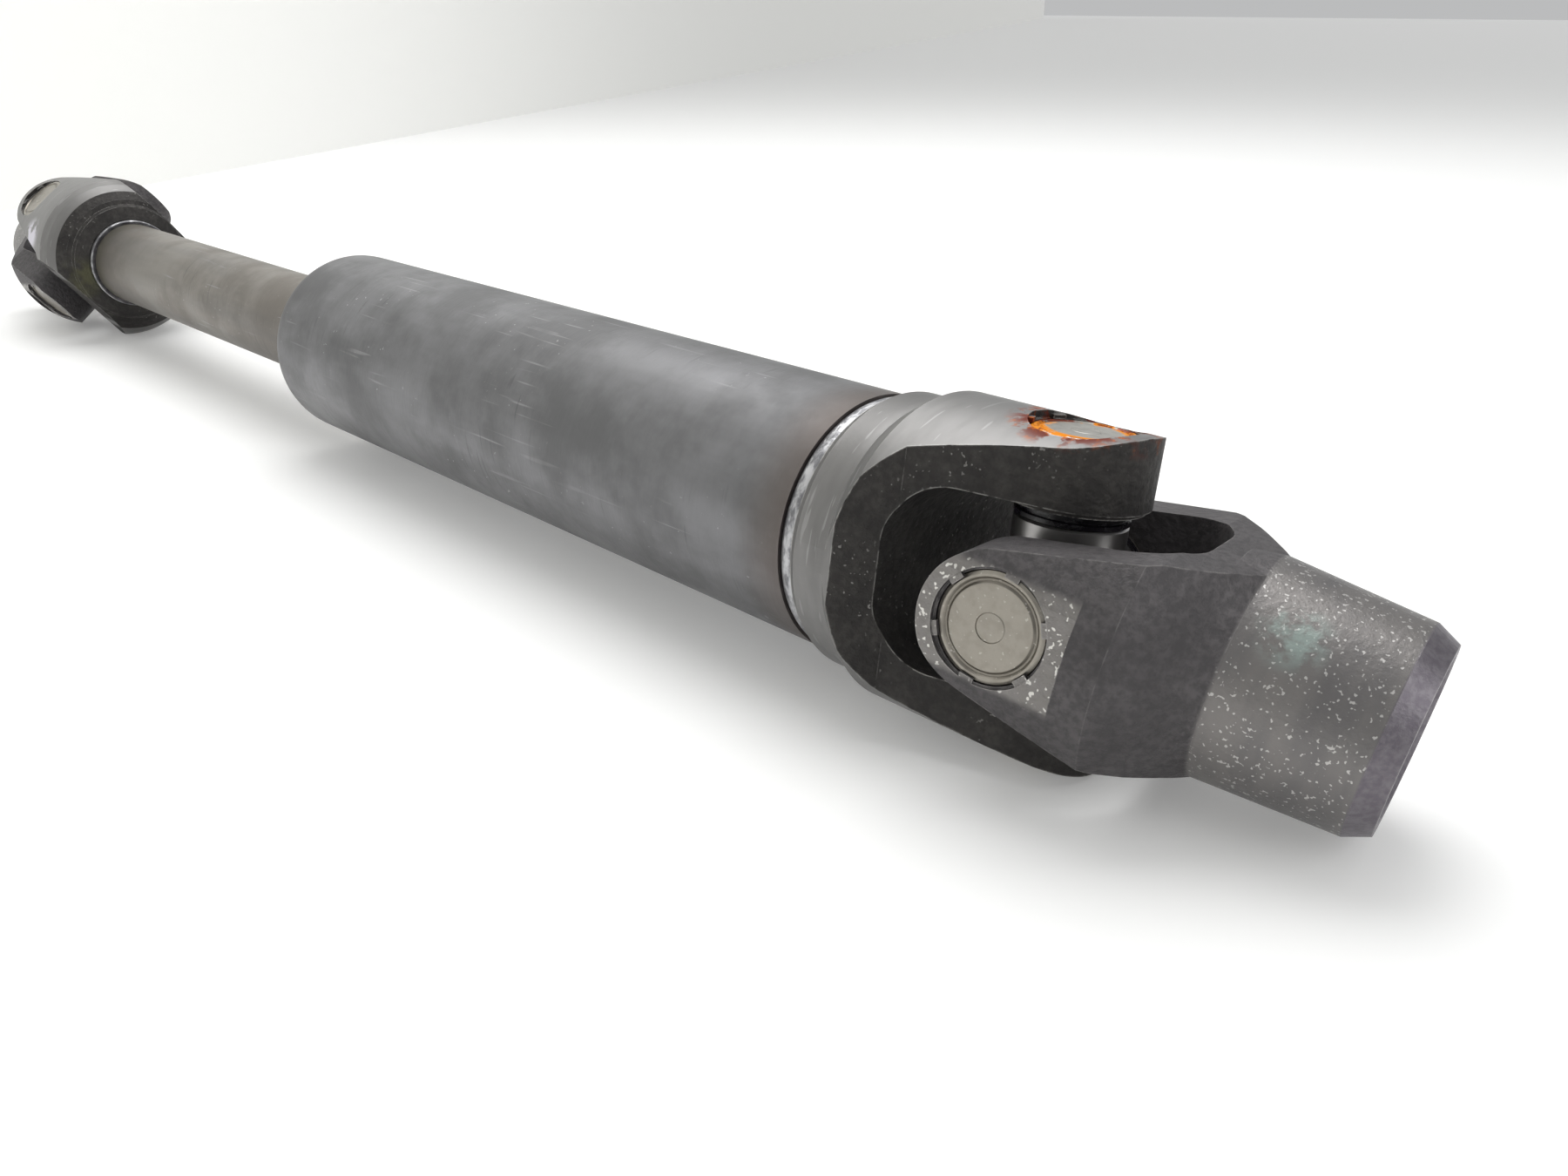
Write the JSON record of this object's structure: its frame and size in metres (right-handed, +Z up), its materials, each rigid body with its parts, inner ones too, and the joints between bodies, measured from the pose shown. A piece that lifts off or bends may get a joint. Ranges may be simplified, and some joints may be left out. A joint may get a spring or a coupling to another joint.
{
  "type": "universal joint shaft",
  "caption": "Tubular drive shaft with a torsional damper tube and a staked needle-bearing universal joint and splined hub at each end.",
  "frame": {"origin": "middle of the footprint, on the surface that the shaft lies on", "axes": "+X along the shaft towards the front hub (the one beside the damper tube); +Z up from the surface"},
  "size_m": [0.6926, 0.0754, 0.0692],
  "materials": {
    "yoke_steel": "forged rough inside, turned bright outside",
    "hub_steel": "forged rough, ears milled, hub turned",
    "damper_steel": "drawn, satin, lightly scuffed",
    "inner_steel": "drawn, smooth satin",
    "weld_steel": "brushed weld bead",
    "cross_steel": "ground",
    "cup_steel": "pressed, smooth, one with rust in its groove",
    "needle_steel": "ground",
    "seal_rubber": "moulded",
    "damper_rubber": "moulded",
    "bush_bronze": "machined"
  },
  "bodies": {
    "damper": {"damper_tube": "damper_steel", "damper_rubber": "damper_rubber", "front_weld": "weld_steel", "front_shaft_yoke": "yoke_steel", "front_shaft_cup_a": "cup_steel", "front_shaft_cup_b": "cup_steel", "front_shaft_needles_a": "needle_steel", "front_shaft_needles_b": "needle_steel", "front_shaft_seal_a": "seal_rubber", "front_shaft_seal_b": "seal_rubber"},
    "front_cross": {"front_cross": "cross_steel"},
    "front_hub": {"front_hub_yoke": "hub_steel", "front_hub_cup_a": "cup_steel", "front_hub_cup_b": "cup_steel", "front_hub_needles_a": "needle_steel", "front_hub_needles_b": "needle_steel", "front_hub_seal_a": "seal_rubber", "front_hub_seal_b": "seal_rubber"},
    "rear_shaft": {"inner_shaft": "inner_steel", "guide_bush": "bush_bronze", "rear_weld": "weld_steel", "rear_shaft_yoke": "yoke_steel", "rear_shaft_cup_a": "cup_steel", "rear_shaft_cup_b": "cup_steel", "rear_shaft_needles_a": "needle_steel", "rear_shaft_needles_b": "needle_steel", "rear_shaft_seal_a": "seal_rubber", "rear_shaft_seal_b": "seal_rubber"},
    "rear_cross": {"rear_cross": "cross_steel"},
    "rear_hub": {"rear_hub_yoke": "hub_steel", "rear_hub_cup_a": "cup_steel", "rear_hub_cup_b": "cup_steel", "rear_hub_needles_a": "needle_steel", "rear_hub_needles_b": "needle_steel", "rear_hub_seal_a": "seal_rubber", "rear_hub_seal_b": "seal_rubber"}
  },
  "joints": [
    {"name": "front_ears_swing", "type": "hinge", "parent": "damper", "child": "front_cross", "pos_m": [0.27334, -0.00105, 0.03469], "axis": [0, 0.1392, 0.9903], "range_deg": [-33.1, 6.9]},
    {"name": "front_hub_swing", "type": "hinge", "parent": "front_cross", "child": "front_hub", "pos_m": [0.27334, -0.00105, 0.03469], "axis": [-0.2267, 0.9645, -0.1356], "range_deg": [-28, 12]},
    {"name": "rear_ears_swing", "type": "hinge", "parent": "rear_shaft", "child": "rear_cross", "pos_m": [-0.28066, -0.00105, 0.03469], "axis": [0, -0.6157, 0.788], "range_deg": [-24, 16]},
    {"name": "rear_hub_swing", "type": "hinge", "parent": "rear_cross", "child": "rear_hub", "pos_m": [-0.28066, -0.00105, 0.03469], "axis": [0.0698, -0.7861, -0.6142], "range_deg": [-24.5, 15.5]},
    {"name": "damper_twist", "type": "hinge", "parent": "damper", "child": "rear_shaft", "pos_m": [-0.28066, -0.00105, 0.03469], "axis": [1, 0, 0], "range_deg": [-4, 4], "stiffness_Nm_per_rad": 120}
  ]
}
